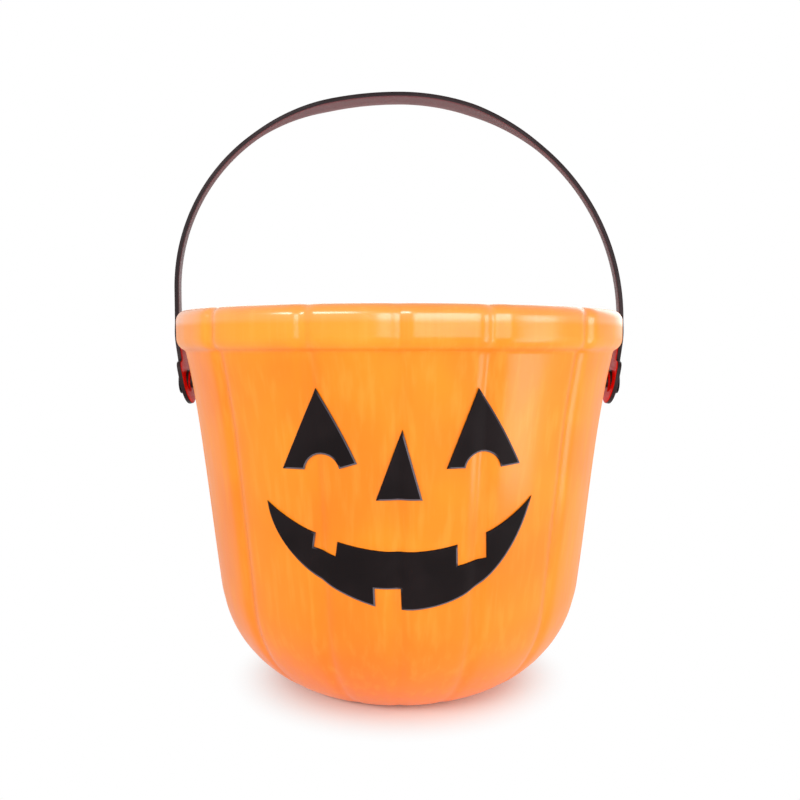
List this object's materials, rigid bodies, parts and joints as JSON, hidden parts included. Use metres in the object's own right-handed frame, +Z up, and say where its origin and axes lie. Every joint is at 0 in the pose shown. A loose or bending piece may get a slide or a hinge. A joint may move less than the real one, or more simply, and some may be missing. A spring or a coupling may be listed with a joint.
{
  "type": "pumpkin candy pail",
  "caption": "Hand-held round-bottomed plastic pail with pumpkin lobes, a jack-o'-lantern face and a swinging strap handle, for collecting sweets.",
  "frame": {"origin": "middle of the base, on the surface the pail stands on", "axes": "+Z up, the face looks along -Y, the strap swings about an axis along X"},
  "size_m": [0.2182, 0.2116, 0.2813],
  "materials": {
    "pail_plastic": "satin, slightly translucent orange",
    "strap_plastic": "satin black",
    "stud_plastic": "satin black",
    "decal_film": "flat black film"
  },
  "bodies": {
    "pail": {"pail_shell": "pail_plastic", "left_pivot_stud": "stud_plastic", "right_pivot_stud": "stud_plastic", "left_stud_cap": "stud_plastic", "right_stud_cap": "stud_plastic", "left_eye_decal": "decal_film", "right_eye_decal": "decal_film", "nose_decal": "decal_film", "mouth_decal": "decal_film"},
    "handle": {"carry_strap": "strap_plastic"}
  },
  "joints": [
    {"name": "handle_swing", "type": "hinge", "parent": "pail", "child": "handle", "pos_m": [0, 0, 0.1438], "axis": [1, 0, 0], "range_deg": [-137, 137]}
  ]
}
